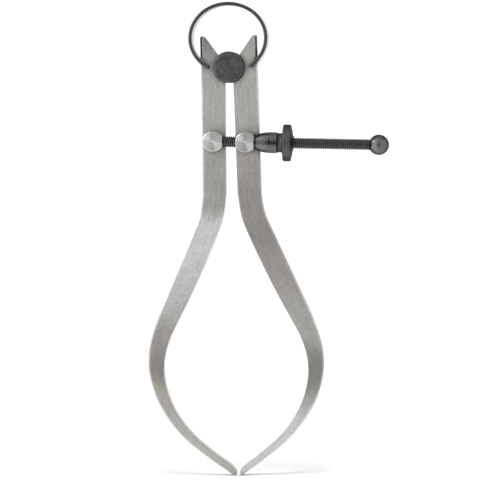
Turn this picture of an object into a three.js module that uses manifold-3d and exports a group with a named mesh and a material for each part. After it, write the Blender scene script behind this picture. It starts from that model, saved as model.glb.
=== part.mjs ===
// Outside spring caliper, 150 mm. Millimetres, +Z up, the front of the tool faces -Y.
// The origin is the centre of the fulcrum's rear face, which is the tool's rearmost flat face.
// Y values below are measured from the middle of the legs' thickness; the outer group shifts them.
import * as THREE from 'three';
import { mergeVertices } from 'three/addons/utils/BufferGeometryUtils.js';
import Module from 'manifold-3d';

const wasm = await Module();
wasm.setup();

// ---- driving dimensions ----
const ROUND = 36; // facets on a turned surface
const PIN_ROUND = 16; // facets on a pin
const RUNNING_GAP = 0.06; // radial play of a part that turns
const CUT_PAST = 1; // how far a cutting tool runs past the surface it opens
const END_CHAMFER = 0.3; // on the ends of rods and on the wheel

const LEG_THICK = 3.0;
const LEG_FRONT = -LEG_THICK / 2;
const LEG_BACK = LEG_THICK / 2;
const CURVE_STEPS = 44; // facets along each long curved edge of a leg

const ROLLER_R = 3.0;
const SEAT_R = ROLLER_R + RUNNING_GAP;
const BUTTON_R = 5.75;
const BUTTON_THICK = 2.3;
const CAP_THICK = BUTTON_THICK;
const DISC_CHAMFER = 0.45;
const RIVET_R = 1.5;
const RIVET_DEPTH = 1.5; // how far the rivet enters the button
const FACE_GAP = 0.08; // play between a leg and the discs that guide it
const PRESS_GAP = 0.02; // between pieces that are pressed together
const ROLLER_HALF = LEG_THICK / 2 + FACE_GAP;
const BUTTON_FRONT = -ROLLER_HALF - BUTTON_THICK;
const CAP_BACK = ROLLER_HALF + CAP_THICK;

const EAR_TOP = 11.5;
const EAR_CORNER_R = 0.5;
const EAR_TIP_DROP = 0.35; // height of the small facet between the ear's inner face and its top
const EAR_TIP_FLAT = 0.3;
const EAR_OUTER_X = 10.5;
const EAR_FACE_TILT = THREE.MathUtils.degToRad(35.6); // from vertical
const EAR_FACE_X0 = 0.65; // where the ear's inner face would cross z = 0

// the bow spring is an oval strip whose ends are forked over the legs
const BOW_CENTRE_Z = 10.64;
const BOW_HALF_WIDTH = 13.95; // to the middle of the strip
const BOW_HALF_HEIGHT = 12.55;
const STRIP_THICK = 1.3;
const STRIP_WIDTH = 7.0;
const BOW_END_X = 7.3;
const FORK_SLOT = LEG_THICK + 0.4;
const FORK_TOOL = { length: 8, tall: 5 };
const BOW_STEPS = 72;
const NOTCH_EDGE_X = EAR_OUTER_X; // the strip crosses the leg's edge here
const NOTCH_DEPTH = 1.4;
const NOTCH_GAP = 0.22; // play on each side of the strip and under its fork

const ANCHOR_STUD = { x: -6.0, z: -27.05 };
const SLIDE_STUD = { x: 6.0, z: -27.55 };
const STUD_HEAD_R = 3.72;
const HEAD_CHAMFER = 0.35;
const STUD_FRONT = -8.3;
const STUD_SHANK_R = 2.2;
const STUD_BACK = 3.1;
const WASHER_R = 3.4;
const WASHER_THICK = 0.9;
const WASHER_CHAMFER = 0.2;

const SCREW_Y = -5.0;
const SCREW_R = 2.0;
const SCREW_DROOP = Math.atan2(ANCHOR_STUD.z - SLIDE_STUD.z, SLIDE_STUD.x - ANCHOR_STUD.x);
const STUD_SPACING = Math.hypot(SLIDE_STUD.x - ANCHOR_STUD.x, SLIDE_STUD.z - ANCHOR_STUD.z);
const SCREW_START = -2.9; // along the screw, from the anchor stud's axis
const BALL_AT = STUD_SPACING + 48.5;
const BALL_R = 3.72;
const BALL_NECK_R = 1.3; // turned end of the screw, inside the ball
const NECK_PAST = 1.6; // how far the neck runs past the ball's centre
const NECK_SHOULDER = 0.1; // how far the full screw enters the ball
const PIN_R = 0.6;
const PIN_GAP = 0.15;
const PIN_DEPTH = 1.3; // how far the lock pin enters the screw
const LOCK_PIN_SUNK = 0.4; // below the stud head's surface
const BALL_PIN_SUNK = 0.12; // below the ball's surface
const SLIDE_BORE_R = SCREW_R + 0.42;
const NOSE_SEAT_R = 2.87; // counterbore that takes the sleeve's nose
const NOSE_SEAT_FLOOR = STUD_SPACING + 1.95;

// the nut group, as distances along the screw from the slide stud's axis
const NOSE_END = 2.7;
const NOSE_SHOULDER = 4.45;
const NOSE_R = 2.55;
const SLEEVE_END = 11.65;
const NUT_START = 11.75;
const SPIGOT_START = 6.0;
const SPIGOT_R = 2.75;
const SPIGOT_END_GAP = 0.15;
const WHEEL_START = 13.55;
const WHEEL_END = 16.5;
const WHEEL_R = 6.7;
const NUT_END = 17.45;
const THREAD_BORE_R = SCREW_R + RUNNING_GAP;
const NOSE_BORE_R = SCREW_R + 0.1;
/** The sleeve's swelling outside, as [radius, distance] points. */
const BARREL = [[2.95, 4.55], [3.27, 5.5], [3.52, 6.6], [3.71, 7.8], [3.8, 9.0], [3.8, 10.3]];
const BARREL_END_R = 3.64;
/** The nut's waist before the wheel and its cone behind it. */
const WAIST = [[3.62, NUT_START], [3.45, 12.7], [3.65, 13.2], [4.2, WHEEL_START]];
const CONE = [[4.6, 16.95], [3.2, 17.2], [2.6, NUT_END]];

// ---- materials ----
const metal = (color, roughness, metalness) =>
  new THREE.MeshStandardMaterial({ color, roughness, metalness });
const groundSteel = () => metal(0xa3a39b, 0.45, 1.0);
const turnedSteel = () => metal(0xb4b4ac, 0.3, 1.0);
const blackOxide = () => metal(0x3c3c3d, 0.55, 0.8);

// ---- helpers ----
const sameSense = (side, points) => points.map(([x, z]) => new THREE.Vector2(side * x, z));

/** A flat piece: an outline in X and Z, between two Y planes. */
function plate(shape, front, back) {
  const geometry = new THREE.ExtrudeGeometry(shape, {
    depth: back - front,
    bevelEnabled: false,
    curveSegments: ROUND / 2,
  });
  return geometry.rotateX(Math.PI / 2).translate(0, back, 0);
}

/** A piece turned about Y, from [radius, y] points that start and end on the axis. */
function turned(profile, facets = ROUND) {
  return new THREE.LatheGeometry(profile.map(([r, y]) => new THREE.Vector2(r, y)), facets);
}

/** A plain rod about Y. */
const rod = (radius, from, to, facets = ROUND) =>
  turned([[0, from], [radius, from], [radius, to], [0, to]], facets);

/** Lays a piece turned about Y along +X. */
const alongX = (geometry) => geometry.rotateZ(-Math.PI / 2);

function toSolid(geometry) {
  const bare = geometry.clone();
  bare.deleteAttribute('normal');
  bare.deleteAttribute('uv');
  const merged = mergeVertices(bare, 1e-5);
  return new wasm.Manifold(new wasm.Mesh({
    numProp: 3,
    vertProperties: merged.attributes.position.array,
    triVerts: Uint32Array.from(merged.index.array),
  }));
}

function cut(geometry, ...tools) {
  const solid = tools.reduce((rest, tool) => rest.subtract(toSolid(tool)), toSolid(geometry));
  const mesh = solid.getMesh();
  const result = new THREE.BufferGeometry();
  result.setAttribute('position', new THREE.BufferAttribute(mesh.vertProperties, 3));
  result.setIndex(new THREE.BufferAttribute(mesh.triVerts, 1));
  return result;
}

const caliper = new THREE.Group();
caliper.position.y = -CAP_BACK;

function place(name, geometry, material, parent = caliper) {
  const mesh = new THREE.Mesh(geometry, material);
  mesh.name = name;
  parent.add(mesh);
  return mesh;
}

// ---- the oval line of the bow spring, shared with the leg notches ----
/** The point where the strip's middle line is at this distance from the mirror plane, low side. */
function bowPoint(x) {
  const reach = x / BOW_HALF_WIDTH;
  return new THREE.Vector2(x, BOW_CENTRE_Z - BOW_HALF_HEIGHT * Math.sqrt(1 - reach * reach));
}

const stripCrossing = bowPoint(NOTCH_EDGE_X);
/** The strip's direction as it enters the notch: inwards and down. */
const stripDirection = new THREE.Vector2(
  -(BOW_CENTRE_Z - stripCrossing.y) / BOW_HALF_HEIGHT * BOW_HALF_WIDTH,
  -NOTCH_EDGE_X / BOW_HALF_WIDTH * BOW_HALF_HEIGHT,
).normalize();
const stripNormal = new THREE.Vector2(-stripDirection.y, stripDirection.x);
const notchFloor = stripCrossing.clone().addScaledVector(stripDirection, NOTCH_DEPTH);

// ---- legs ----
/** Outer edge from the straight part, around the bend and the bulge, to the tip. */
const OUTER_EDGE = [
  [10.9, -47], [12.15, -54.3], [15.5, -62], [19.9, -72], [24.35, -82], [28.7, -92], [31.75, -101.5],
  [32.55, -108.5], [31.95, -115], [29.5, -123], [24.95, -131], [18.9, -138], [11.3, -144],
  [2.1, -150.3],
];
/** The blunt beak on the inside of the tip. */
const TIP_FACE = [[0.63, -149.4], [0.97, -148.6], [1.58, -147.7], [2.4, -146.85]];
/** Inner edge from the beak back up to the straight part. */
const INNER_EDGE = [
  [3.4, -146.05], [9.0, -141.9], [15.85, -135.95], [21.35, -129], [24.88, -121.8], [26.63, -114.3],
  [26.54, -107.5], [24.42, -100], [20.36, -92], [15.65, -83], [10.18, -71.5], [6.0, -62],
  [3.45, -55], [2.2, -46.5],
];
const TIP_CENTRE = [1.2, -150.05];
const TIP_R = 0.65;
const TIP_ARC = { from: -40, to: -190, steps: 8 }; // degrees from +X
const INNER_TOP_X = 1.42;

/** Points of an arc about a centre, from one angle to another in degrees from +X. */
function arc([cx, cz], radius, from, to, steps) {
  return Array.from({ length: steps + 1 }, (_, i) => {
    const angle = THREE.MathUtils.degToRad(from + (to - from) * i / steps);
    return [cx + radius * Math.cos(angle), cz + radius * Math.sin(angle)];
  });
}

const smooth = (points) =>
  new THREE.SplineCurve(points.map(([x, z]) => new THREE.Vector2(x, z)))
    .getSpacedPoints(CURVE_STEPS)
    .map((p) => [p.x, p.y]);

const SEAT_STEPS = 20;
const CORNER_STEPS = 4;

/** The half-round seat for the roller, from the straight inner edge up to the ear's inner face. */
function seatPoints() {
  const low = -THREE.MathUtils.radToDeg(Math.acos(INNER_TOP_X / SEAT_R));
  const offset = Math.asin(EAR_FACE_X0 * Math.cos(EAR_FACE_TILT) / SEAT_R);
  const high = 90 - THREE.MathUtils.radToDeg(EAR_FACE_TILT + offset);
  return arc([0, 0], SEAT_R, low, high, SEAT_STEPS);
}

function notchPoints() {
  const half = STRIP_THICK / 2 + NOTCH_GAP;
  const upper = notchFloor.clone().addScaledVector(stripNormal, -half);
  const lower = notchFloor.clone().addScaledVector(stripNormal, half);
  const edgeAt = (p) => p.y + (NOTCH_EDGE_X - p.x) * stripDirection.y / stripDirection.x;
  return [[NOTCH_EDGE_X, edgeAt(upper)], [upper.x, upper.y], [lower.x, lower.y],
    [NOTCH_EDGE_X, edgeAt(lower)]];
}

function legGeometry(side, stud) {
  const facetZ = EAR_TOP - EAR_TIP_DROP;
  const faceX = (z) => EAR_FACE_X0 + z * Math.tan(EAR_FACE_TILT);
  const corner = [EAR_OUTER_X - EAR_CORNER_R, EAR_TOP - EAR_CORNER_R];
  const outline = [
    ...seatPoints(),
    [faceX(facetZ), facetZ],
    [faceX(EAR_TOP) + EAR_TIP_FLAT, EAR_TOP],
    ...arc(corner, EAR_CORNER_R, 90, 0, CORNER_STEPS),
    ...notchPoints(),
    ...smooth(OUTER_EDGE),
    ...arc(TIP_CENTRE, TIP_R, TIP_ARC.from, TIP_ARC.to, TIP_ARC.steps),
    ...TIP_FACE,
    ...smooth(INNER_EDGE),
  ];
  const shape = new THREE.Shape(sameSense(side, outline));
  const hole = new THREE.Path().absarc(stud.x, stud.z, STUD_SHANK_R + RUNNING_GAP, 0, 2 * Math.PI);
  shape.holes.push(hole);
  return plate(shape, LEG_FRONT, LEG_BACK);
}

place('left_leg', legGeometry(-1, ANCHOR_STUD), groundSteel());
place('right_leg', legGeometry(1, SLIDE_STUD), groundSteel());

// ---- fulcrum: a rivet holds the roller between the front button and the rear cap ----
const rivetBore = RIVET_R + PRESS_GAP;
const rivetFront = BUTTON_FRONT + BUTTON_THICK - RIVET_DEPTH;

place('fulcrum_roller', turned([
  [rivetBore, -ROLLER_HALF], [ROLLER_R, -ROLLER_HALF], [ROLLER_R, ROLLER_HALF],
  [rivetBore, ROLLER_HALF], [rivetBore, -ROLLER_HALF],
]), turnedSteel());

place('fulcrum_button', turned([
  [0, BUTTON_FRONT], [BUTTON_R - DISC_CHAMFER, BUTTON_FRONT],
  [BUTTON_R, BUTTON_FRONT + DISC_CHAMFER],
  [BUTTON_R, -ROLLER_HALF - PRESS_GAP], [rivetBore, -ROLLER_HALF - PRESS_GAP],
  [rivetBore, rivetFront - PRESS_GAP], [0, rivetFront - PRESS_GAP],
]), blackOxide());

place('fulcrum_rear_cap', turned([
  [rivetBore, ROLLER_HALF + PRESS_GAP], [BUTTON_R, ROLLER_HALF + PRESS_GAP],
  [BUTTON_R, CAP_BACK - DISC_CHAMFER], [BUTTON_R - DISC_CHAMFER, CAP_BACK], [rivetBore, CAP_BACK],
  [rivetBore, ROLLER_HALF + PRESS_GAP],
]), blackOxide());

place('fulcrum_rivet', rod(RIVET_R, rivetFront, CAP_BACK), turnedSteel());

// ---- bow spring ----
/** The strip's side view: out along one face of the oval and back along the other. */
function bowOutline() {
  const endAngle = Math.asin(BOW_END_X / BOW_HALF_WIDTH);
  const line = (offset) => Array.from({ length: BOW_STEPS + 1 }, (_, i) => {
    const angle = endAngle + (2 * Math.PI - 2 * endAngle) * i / BOW_STEPS;
    const normal = new THREE.Vector2(
      BOW_HALF_HEIGHT * Math.sin(angle),
      -BOW_HALF_WIDTH * Math.cos(angle),
    ).normalize();
    return new THREE.Vector2(
      BOW_HALF_WIDTH * Math.sin(angle) + offset * normal.x,
      BOW_CENTRE_Z - BOW_HALF_HEIGHT * Math.cos(angle) + offset * normal.y,
    );
  });
  return [...line(STRIP_THICK / 2), ...line(-STRIP_THICK / 2).reverse()];
}

/** A block that slots the end of the strip, from the notch floor inwards. */
function forkSlot(side) {
  const { length, tall } = FORK_TOOL;
  const start = notchFloor.clone().addScaledVector(stripDirection, -NOTCH_GAP);
  const middle = start.addScaledVector(stripDirection, length / 2);
  const angle = Math.atan2(stripDirection.y, side * stripDirection.x);
  return new THREE.BoxGeometry(length, FORK_SLOT, tall)
    .rotateY(-angle)
    .translate(side * middle.x, 0, middle.y);
}

const strip = plate(new THREE.Shape(bowOutline()), -STRIP_WIDTH / 2, STRIP_WIDTH / 2);
place('bow_spring', cut(strip, forkSlot(-1), forkSlot(1)), blackOxide());

// ---- studs: each turns in its leg and is held by a washer riveted on behind ----
function studProfile() {
  const front = LEG_FRONT - FACE_GAP;
  return [
    [0, STUD_FRONT], [STUD_HEAD_R - HEAD_CHAMFER, STUD_FRONT],
    [STUD_HEAD_R, STUD_FRONT + HEAD_CHAMFER], [STUD_HEAD_R, front], [STUD_SHANK_R, front],
    [STUD_SHANK_R, STUD_BACK - END_CHAMFER], [STUD_SHANK_R - END_CHAMFER, STUD_BACK],
    [0, STUD_BACK],
  ];
}

function washer() {
  const front = LEG_BACK + FACE_GAP;
  const back = front + WASHER_THICK;
  const bore = STUD_SHANK_R + PRESS_GAP;
  return turned([
    [bore, front], [WASHER_R, front], [WASHER_R, back - WASHER_CHAMFER],
    [WASHER_R - WASHER_CHAMFER, back], [bore, back], [bore, front],
  ]);
}

/** A group at a stud's axis, turned so that its X axis runs along the screw. */
function studGroup(stud) {
  const group = new THREE.Group();
  group.position.set(stud.x, 0, stud.z);
  group.rotation.y = SCREW_DROOP;
  caliper.add(group);
  return group;
}

/** A round tool or piece along the screw's axis, in a stud group. */
const onScrew = (geometry) => alongX(geometry).translate(0, SCREW_Y, 0);

/** A pin or its hole, from above the screw's axis downwards, square to the screw. */
const lockPinRod = (radius, from, to) =>
  rod(radius, from, to, PIN_ROUND).rotateX(-Math.PI / 2).translate(0, SCREW_Y, 0);

const pastHead = STUD_HEAD_R + CUT_PAST;
const anchor = studGroup(ANCHOR_STUD);
const anchorBore = onScrew(rod(SCREW_R + PIN_GAP, SCREW_START - PIN_GAP, pastHead));
const lockPinHole = lockPinRod(PIN_R + PIN_GAP, 0, pastHead);
place('anchor_stud', cut(turned(studProfile()), anchorBore, lockPinHole), turnedSteel(), anchor);
place('anchor_stud_washer', washer(), turnedSteel(), anchor);

const slide = studGroup(SLIDE_STUD);
const slideBore = onScrew(rod(SLIDE_BORE_R, -pastHead, pastHead));
const noseSeat = onScrew(rod(NOSE_SEAT_R, NOSE_SEAT_FLOOR - STUD_SPACING, pastHead));
place('slide_stud', cut(turned(studProfile()), slideBore, noseSeat), turnedSteel(), slide);
place('slide_stud_washer', washer(), turnedSteel(), slide);

// ---- adjusting screw with its lock pin and ball end, carried by the anchor stud ----
const screwShoulder = BALL_AT - BALL_R + NECK_SHOULDER;
const neckEnd = BALL_AT + NECK_PAST;
const screwRod = onScrew(turned([
  [0, SCREW_START], [SCREW_R - END_CHAMFER, SCREW_START], [SCREW_R, SCREW_START + END_CHAMFER],
  [SCREW_R, screwShoulder], [BALL_NECK_R, screwShoulder], [BALL_NECK_R, neckEnd], [0, neckEnd],
]));
const pinFoot = SCREW_R - PIN_DEPTH;
const lockPinSocket = lockPinRod(PIN_R + PIN_GAP, pinFoot - PIN_GAP, SCREW_R + CUT_PAST);

/** The ball's cross pin or its hole, of this half length along Y. */
const ballPinRod = (radius, half) =>
  rod(radius, -half, half, PIN_ROUND).translate(BALL_AT, SCREW_Y, 0);
const ballPinHole = ballPinRod(PIN_R + PIN_GAP, BALL_R + CUT_PAST);
place('adjusting_screw', cut(screwRod, lockPinSocket, ballPinHole), blackOxide(), anchor);

const lockPin = lockPinRod(PIN_R, pinFoot, STUD_HEAD_R - LOCK_PIN_SUNK);
place('screw_lock_pin', lockPin, turnedSteel(), anchor);

const ball = new THREE.SphereGeometry(BALL_R, 28, 18).translate(BALL_AT, SCREW_Y, 0);
const ballBore = onScrew(
  rod(BALL_NECK_R + PIN_GAP, BALL_AT - BALL_R - CUT_PAST, neckEnd + PIN_GAP),
);
place('ball_end', cut(ball, ballBore, ballPinHole), blackOxide(), anchor);
place('ball_pin', ballPinRod(PIN_R, BALL_R - BALL_PIN_SUNK), turnedSteel(), anchor);

// ---- nut group: the sleeve's nose bears on the slide stud and the nut turns behind it ----
/** A ring turned about the screw, from [radius, distance past the slide stud's axis] points. */
const onSlide = (profile) => onScrew(turned(
  [...profile, profile[0]].map(([r, along]) => [r, STUD_SPACING + along]),
));
const sleeveBore = SPIGOT_R + RUNNING_GAP;
const boreFloor = SPIGOT_START - SPIGOT_END_GAP;
place('thrust_sleeve', onSlide([
  [NOSE_BORE_R, NOSE_END], [NOSE_R, NOSE_END], [NOSE_R, NOSE_SHOULDER], ...BARREL,
  [BARREL_END_R, SLEEVE_END], [sleeveBore, SLEEVE_END], [sleeveBore, boreFloor],
  [NOSE_BORE_R, boreFloor],
]), blackOxide(), anchor);

place('adjusting_nut', onSlide([
  [THREAD_BORE_R, SPIGOT_START], [SPIGOT_R, SPIGOT_START], [SPIGOT_R, NUT_START], ...WAIST,
  [WHEEL_R - END_CHAMFER, WHEEL_START], [WHEEL_R, WHEEL_START + END_CHAMFER],
  [WHEEL_R, WHEEL_END - END_CHAMFER], [WHEEL_R - END_CHAMFER, WHEEL_END], ...CONE,
  [THREAD_BORE_R, NUT_END],
]), blackOxide(), anchor);

export default caliper;
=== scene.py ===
"""Looks of the 150 mm outside spring caliper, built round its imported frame.

The scene is in metres, +Z up, with the front of the caliper facing -Y. Sizes of details are in
millimetres and are multiplied by MM where they meet the scene. Profiles are lists of points
(radius, distance along the axis), and a third number rounds the corner at that point.
"""

import math

import bmesh
import bpy
from mathutils import Matrix, Vector


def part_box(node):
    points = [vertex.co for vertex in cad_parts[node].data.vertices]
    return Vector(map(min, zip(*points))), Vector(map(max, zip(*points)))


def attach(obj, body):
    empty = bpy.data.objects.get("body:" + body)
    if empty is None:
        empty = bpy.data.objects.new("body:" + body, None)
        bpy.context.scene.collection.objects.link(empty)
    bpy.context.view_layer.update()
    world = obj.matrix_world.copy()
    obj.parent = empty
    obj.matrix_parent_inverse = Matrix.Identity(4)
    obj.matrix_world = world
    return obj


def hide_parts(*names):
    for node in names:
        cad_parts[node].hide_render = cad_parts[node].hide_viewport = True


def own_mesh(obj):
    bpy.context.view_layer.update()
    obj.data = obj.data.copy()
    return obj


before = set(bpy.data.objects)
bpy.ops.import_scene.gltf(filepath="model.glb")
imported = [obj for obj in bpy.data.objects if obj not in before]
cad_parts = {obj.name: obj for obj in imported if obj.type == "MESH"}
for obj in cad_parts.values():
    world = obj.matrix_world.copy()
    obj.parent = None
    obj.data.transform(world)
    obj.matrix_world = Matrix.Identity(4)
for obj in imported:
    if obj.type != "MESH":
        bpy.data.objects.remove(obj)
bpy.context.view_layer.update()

MM = 0.001
UP = Vector((0, 0, 1))
BACK = Vector((0, 1, 0))
ORIGIN = Vector((0, 0, 0))  # on the axis of the fulcrum


# ---- places taken from the frame ----
def middle(node):
    low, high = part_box(node)
    return (low + high) / 2


def depth(node):
    """The near and the far face of a node, in mm along Y."""
    low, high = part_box(node)
    return low.y / MM, high.y / MM


def half_width(node):
    low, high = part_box(node)
    return (high.x - low.x) / 2 / MM


LEG_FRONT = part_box("left_leg")[0].y
LEG_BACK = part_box("left_leg")[1].y
SCREW_Y = middle("adjusting_screw").y
ANCHOR = Vector((middle("anchor_stud_washer").x, SCREW_Y, middle("anchor_stud_washer").z))
SLIDE = Vector((middle("slide_stud_washer").x, SCREW_Y, middle("slide_stud_washer").z))
ALONG = (SLIDE - ANCHOR).normalized()  # direction of the screw, towards the ball
ABOVE = ALONG.cross(BACK)  # upwards, square to the screw
BALL = middle("ball_end")
BALL_R = (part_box("ball_end")[1].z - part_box("ball_end")[0].z) / 2 / MM
BALL_ALONG = (BALL - ANCHOR).length / MM  # along the screw from the anchor stud's axis

# ---- mesh helpers ----
ROUND = 96  # segments on a turned surface
PIN_SEGMENTS = 48
DRILL_SEGMENTS = 64
FILLET_STEPS = 4
CURVE_STEPS = 6
SHARP_ANGLE = math.radians(32)


def mesh_object(name, bm):
    """An object made from a bmesh, with its faces turned outwards."""
    bmesh.ops.recalc_face_normals(bm, faces=bm.faces)
    mesh = bpy.data.meshes.new(name)
    bm.to_mesh(mesh)
    bm.free()
    made = bpy.data.objects.new(name, mesh)
    bpy.context.scene.collection.objects.link(made)
    return made


def finish(made, material, body, node):
    """Gives a piece its shading and its material, hangs it on the body it rides on and hides the CAD
    node it stands for.
    """
    made.data.materials.clear()
    made.data.materials.append(material)
    made.data.shade_smooth()
    made.data.set_sharp_from_angle(angle=SHARP_ANGLE)
    if not made.modifiers:
        made.modifiers.new("flat_faces", "WEIGHTED_NORMAL").keep_sharp = True
    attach(made, body)
    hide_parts(node)


def piece(name, bm, material, body, node):
    finish(mesh_object(name, bm), material, body, node)


def filleted(profile):
    """Rounds the corners of a profile that have a third number."""
    out = []
    for i, point in enumerate(profile):
        here = Vector(point[:2])
        if len(point) < 3:
            out.append(here)
            continue
        before = Vector(profile[i - 1][:2])
        after = Vector(profile[(i + 1) % len(profile)][:2])
        start = here + (before - here).normalized() * point[2]
        end = here + (after - here).normalized() * point[2]
        for k in range(FILLET_STEPS + 1):
            t = k / FILLET_STEPS
            out.append(start * (1 - t) ** 2 + here * 2 * t * (1 - t) + end * t * t)
    return out


def smoothed(profile):
    """A Catmull-Rom curve through the points of a profile."""
    points = [Vector(point) for point in profile]
    points = [2 * points[0] - points[1], *points, 2 * points[-1] - points[-2]]
    out = []
    for a, b, c, d in zip(points, points[1:], points[2:], points[3:]):
        for k in range(CURVE_STEPS):
            t = k / CURVE_STEPS
            out.append(0.5 * (2 * b + (c - a) * t + (2 * a - 5 * b + 4 * c - d) * t * t
                              + (3 * b - a - 3 * c + d) * t ** 3))
    return out + [points[-2]]


def basis(axis):
    """Two directions square to an axis, the first as near to up as it can be."""
    if abs(axis.z) < 0.9:
        first = (UP - axis * UP.dot(axis)).normalized()
    else:
        first = Vector((1, 0, 0))
    return first, axis.cross(first).normalized()


def bridge(bm, one, other):
    """Joins two closed rings of vertices with faces. A ring that repeats one vertex gives a fan."""
    for k in range(len(one)):
        n = (k + 1) % len(one)
        corners = list(dict.fromkeys((one[k], one[n], other[n], other[k])))
        if len(corners) > 2:
            bm.faces.new(corners)


def turned(profile, origin, axis, segments=ROUND, closed=False):
    """A turned body from a profile about an axis through origin. A closed one is a ring."""
    bm = bmesh.new()
    first, second = basis(axis)
    rings = []
    for radius, distance in profile:
        centre = origin + axis * distance * MM
        if radius == 0:
            rings.append([bm.verts.new(centre)] * segments)
            continue
        ring = []
        for k in range(segments):
            angle = 2 * math.pi * k / segments
            outward = first * math.cos(angle) + second * math.sin(angle)
            ring.append(bm.verts.new(centre + outward * radius * MM))
        rings.append(ring)
    if closed:
        rings.append(rings[0])
    for one, other in zip(rings, rings[1:]):
        bridge(bm, one, other)
    return bm


def drill(radius, start, end, origin, axis):
    """A tool that cuts a round hole, from start to end along an axis through origin."""
    profile = [(0, start), (radius, start), (radius, end), (0, end)]
    return turned(profile, origin, axis, DRILL_SEGMENTS)


def block(centre, axes, size):
    """A box-shaped tool, with its size in mm along three directions square to each other."""
    bm = bmesh.new()
    bmesh.ops.create_cube(bm, size=1.0)
    for vert in bm.verts:
        reach = [axis * share * long * MM for axis, share, long in zip(axes, vert.co, size)]
        vert.co = sum(reach, centre)
    return bm


def drilled(made, *tools):
    """Cuts a piece with tools, which are then removed."""
    tools = [mesh_object("tool", tool) for tool in tools]
    for tool in tools:
        cut = made.modifiers.new("drill", "BOOLEAN")
        cut.operation = "DIFFERENCE"
        cut.solver = "EXACT"
        cut.object = tool
    graph = bpy.context.evaluated_depsgraph_get()
    mesh = bpy.data.meshes.new_from_object(made.evaluated_get(graph))
    made.modifiers.clear()
    made.data = mesh
    for tool in tools:
        bpy.data.objects.remove(tool)


# ---- shader helpers ----
def plug(tree, node, key, value):
    """Links a socket to an input, or sets the input to a plain value."""
    if isinstance(value, bpy.types.NodeSocket):
        tree.links.new(value, node.inputs[key])
    else:
        node.inputs[key].default_value = value


def add(tree, kind, inputs=None, **settings):
    """A shader node whose inputs are values, or sockets to link from."""
    node = tree.nodes.new("ShaderNode" + kind)
    for key, value in settings.items():
        setattr(node, key, value)
    for key, value in (inputs or {}).items():
        plug(tree, node, key, value)
    return node


def calc(tree, operation, *values):
    return add(tree, "Math", dict(enumerate(values)), operation=operation).outputs[0]


def product(tree, first, *others):
    """All the values multiplied together."""
    for value in others:
        first = calc(tree, "MULTIPLY", first, value)
    return first


def remap(tree, value, low, high, to_low, to_high, kind="LINEAR"):
    return add(tree, "MapRange", {
        "Value": value, "From Min": low, "From Max": high, "To Min": to_low, "To Max": to_high,
    }, interpolation_type=kind).outputs[0]


def noise(tree, vector, scale, detail, roughness):
    return add(tree, "TexNoise", {
        "Vector": vector, "Scale": scale, "Detail": detail, "Roughness": roughness,
    }).outputs[0]


def vary(tree, pattern, reach, share):
    """1 give or take a share, as a noise pattern runs from reach below 0.5 to reach above it."""
    return remap(tree, pattern, 0.5 - reach, 0.5 + reach, 1 - share, 1 + share)


def stretch(tree, vector, x, y, z):
    return add(tree, "Mapping", {"Vector": vector, "Scale": (x, y, z)}).outputs[0]


def split(tree, vector):
    return add(tree, "SeparateXYZ", {0: vector}).outputs


def join(tree, *values):
    return add(tree, "CombineXYZ", dict(enumerate(values))).outputs[0]


def tint(tree, grey, colour):
    """A grey value turned into a colour with the given tint."""
    return add(tree, "VectorMath", {0: colour, "Scale": grey}, operation="SCALE").outputs[0]


def ramp(tree, value, stops, kind="LINEAR"):
    """A colour that follows a value through (value, colour) stops."""
    low, high = stops[0][0], stops[-1][0]
    node = add(tree, "ValToRGB", {0: remap(tree, value, low, high, 0, 1)})
    node.color_ramp.interpolation = kind
    made = node.color_ramp.elements
    while len(made) < len(stops):
        made.new(0.5)
    for element, (place, colour) in zip(made, stops):
        element.position = (place - low) / (high - low)
        element.color = (*colour, 1)
    return node.outputs[0]


def metal_tree(name):
    """A material with an empty metal shader, and the object's coordinates in mm."""
    material = bpy.data.materials.new(name)
    material.use_nodes = True
    tree = material.node_tree
    shader = tree.nodes["Principled BSDF"]
    shader.inputs["Metallic"].default_value = 1.0
    coords = add(tree, "TexCoord").outputs["Object"]
    return material, tree, shader, stretch(tree, coords, 1 / MM, 1 / MM, 1 / MM)


def painted_occlusion_shade(tree, darkest):
    """Painted shade from how open to the room a spot is: 1 on open faces, darkest in corners and under
    neighbours.
    """
    seen = add(tree, "AmbientOcclusion", {"Distance": 2.6 * MM}, samples=8).outputs["AO"]
    return remap(tree, seen, 0.3, 0.92, darkest, 1)


def slant(tree):
    """0 on faces seen head on, 1 on faces seen edge on."""
    return add(tree, "LayerWeight", {"Blend": 0.5}).outputs["Facing"]


def backwardness(tree):
    """-1 on faces that look to the front, 1 on faces that look to the back."""
    return split(tree, add(tree, "NewGeometry").outputs["True Normal"])[1]


def facing_back(tree):
    """1 on faces that look away from the front, 0 on front faces and their bevels."""
    return remap(tree, backwardness(tree), -0.25, 0.1, 0, 1)


def slant_shade(tree, darkest):
    """Below 1 on front faces seen at a slant, which would mirror the brightest part of the room."""
    front_face = remap(tree, backwardness(tree), -0.98, -0.85, 1, 0)
    slanted = remap(tree, slant(tree), 0.05, 0.4, 0, 1, "SMOOTHSTEP")
    return remap(tree, product(tree, front_face, slanted), 0, 1, 1, darkest)


def bumped(tree, shader, height, distance):
    bump = add(tree, "Bump", {"Height": height, "Distance": distance * MM})
    tree.links.new(bump.outputs[0], shader.inputs["Normal"])


# ---- materials ----
STEEL_TINT = (1.0, 0.995, 0.965)
OXIDE_TINT = (1.0, 0.995, 1.0)
PLAIN_TONE = (0.35, 0.345, 0.335)  # sides and backs of the legs
PAINTED_BAND_WAVE = 9.0  # mm by which clouds push the painted light and shade bands of a leg up and down
WEDGE_ANGLE = math.radians(42)  # how far below level the right one of a face's painted highlight wedges lies
HEAD_EDGE = (3.42, 3.5)  # mm from the axis, between which painted shade darkens the chamfer of a turned head


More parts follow.
